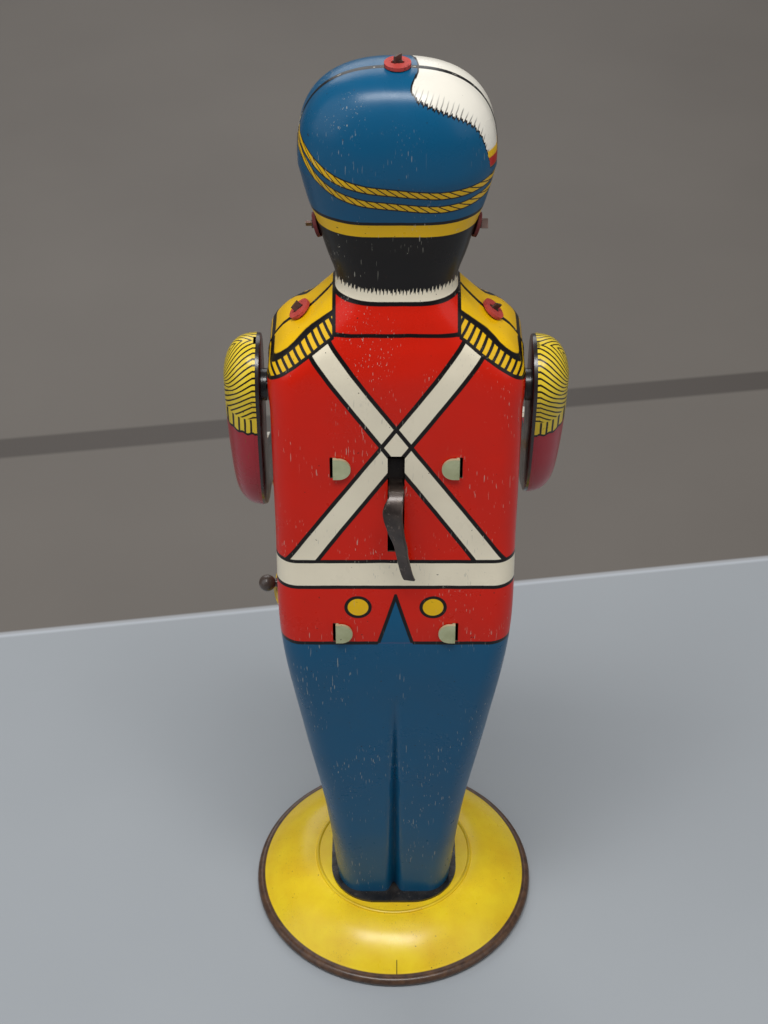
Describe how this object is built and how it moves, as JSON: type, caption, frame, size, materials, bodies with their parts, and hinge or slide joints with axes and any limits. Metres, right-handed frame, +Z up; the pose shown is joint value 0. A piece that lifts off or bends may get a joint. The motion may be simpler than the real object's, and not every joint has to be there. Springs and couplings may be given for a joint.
{
  "type": "wind-up tin toy",
  "caption": "Wind-up tin drummer figure on a round base, with a lever-wound clockwork, swinging arms and a side drum.",
  "frame": {"origin": "centre of the round base, on the surface it stands on", "axes": "+Z up through the hat, the figure faces -Y, +X is the figure's left"},
  "size_m": [0.1056, 0.1216, 0.3464],
  "materials": {
    "base_yellow": "gloss lacquer on tinplate",
    "shoe_black": "satin black lacquer",
    "coat_litho": "gloss lithographed tinplate",
    "tinplate": "bare tinplate, lightly oxidised",
    "fibre_red": "vulcanised fibre, satin",
    "dark_steel": "aged dark steel",
    "wheel_brass": "stamped brass",
    "spring_steel": "blued spring steel",
    "bush_black": "pressed black fibre",
    "sleeve_litho": "gloss lithographed tinplate",
    "plate_black": "satin black lacquer",
    "stick_wood": "turned, varnished",
    "drum_red": "gloss lacquer",
    "drum_white": "gloss cream lacquer",
    "drum_yellow": "gloss lacquer"
  },
  "bodies": {
    "figure": {"base_dome": "base_yellow", "foot_plate": "shoe_black", "back_shell": "coat_litho", "front_shell": "coat_litho", "head_tie": "tinplate", "shoulder_tie": "tinplate", "leg_tie": "tinplate", "hat_washer": "fibre_red", "ear_washers": "fibre_red", "shoulder_washers": "fibre_red", "motor_plate_left": "tinplate", "motor_plate_right": "tinplate", "frame_pillars": "tinplate", "shoulder_bush_left": "bush_black", "shoulder_bush_right": "bush_black", "lever_spring": "spring_steel", "drum_shell": "drum_red", "drum_head_top": "drum_white", "drum_head_bottom": "drum_white", "drum_hoop_top": "drum_yellow", "drum_hoop_bottom": "drum_yellow", "drum_bracket": "tinplate", "drum_knob": "dark_steel"},
    "arm_left": {"arm_shell_left": "sleeve_litho", "arm_plate_left": "plate_black", "arm_shaft_left": "dark_steel", "arm_tail_left": "dark_steel", "drumstick_left": "stick_wood"},
    "arm_right": {"arm_shell_right": "sleeve_litho", "arm_plate_right": "plate_black", "arm_shaft_right": "dark_steel", "arm_tail_right": "dark_steel", "drumstick_right": "stick_wood"},
    "winder": {"winding_lever": "dark_steel"},
    "pawl": {"lever_pawl": "dark_steel"},
    "spring_arbor": {"winding_arbor": "dark_steel", "winding_ratchet": "dark_steel", "drive_ratchet": "dark_steel", "mainspring": "spring_steel"},
    "drive_wheel": {"great_wheel": "wheel_brass"},
    "drive_click": {"great_click": "dark_steel"},
    "beat_shaft": {"beat_arbor": "dark_steel", "beat_pinion": "wheel_brass", "beat_wheel": "wheel_brass", "lift_pins": "dark_steel"},
    "governor": {"governor_arbor": "dark_steel", "governor_pinion": "wheel_brass", "governor_fly": "tinplate"}
  },
  "joints": [
    {"name": "left_arm_swing", "type": "hinge", "parent": "figure", "child": "arm_left", "pos_m": [0, 0, 0.236], "axis": [-1, 0, 0], "range_deg": [0, 28]},
    {"name": "right_arm_swing", "type": "hinge", "parent": "figure", "child": "arm_right", "pos_m": [0, 0, 0.236], "axis": [-1, 0, 0], "range_deg": [-8, 20]},
    {"name": "lever_stroke", "type": "hinge", "parent": "figure", "child": "winder", "pos_m": [0, 0, 0.205], "axis": [1, 0, 0], "range_deg": [-8, 18], "stiffness_Nm_per_rad": 0.02},
    {"name": "pawl_lift", "type": "hinge", "parent": "winder", "child": "pawl", "pos_m": [0, 0.01113, 0.20949], "axis": [1, 0, 0], "range_deg": [0, 10]},
    {"name": "arbor_turn", "type": "hinge", "parent": "figure", "child": "spring_arbor", "pos_m": [0, 0, 0.205], "axis": [1, 0, 0], "continuous": true},
    {"name": "great_wheel_turn", "type": "hinge", "parent": "figure", "child": "drive_wheel", "pos_m": [0, 0, 0.205], "axis": [1, 0, 0], "continuous": true},
    {"name": "click_lift", "type": "hinge", "parent": "drive_wheel", "child": "drive_click", "pos_m": [0, 0.011, 0.2084], "axis": [1, 0, 0], "range_deg": [0, 10]},
    {"name": "beat_shaft_turn", "type": "hinge", "parent": "figure", "child": "beat_shaft", "pos_m": [0, -0.009, 0.22059], "axis": [1, 0, 0], "continuous": true},
    {"name": "governor_turn", "type": "hinge", "parent": "figure", "child": "governor", "pos_m": [0, -0.01348, 0.23438], "axis": [1, 0, 0], "continuous": true}
  ],
  "couplings": [
    {"joint": "beat_shaft_turn", "follows": "great_wheel_turn", "ratio": -5},
    {"joint": "governor_turn", "follows": "great_wheel_turn", "ratio": 24}
  ]
}
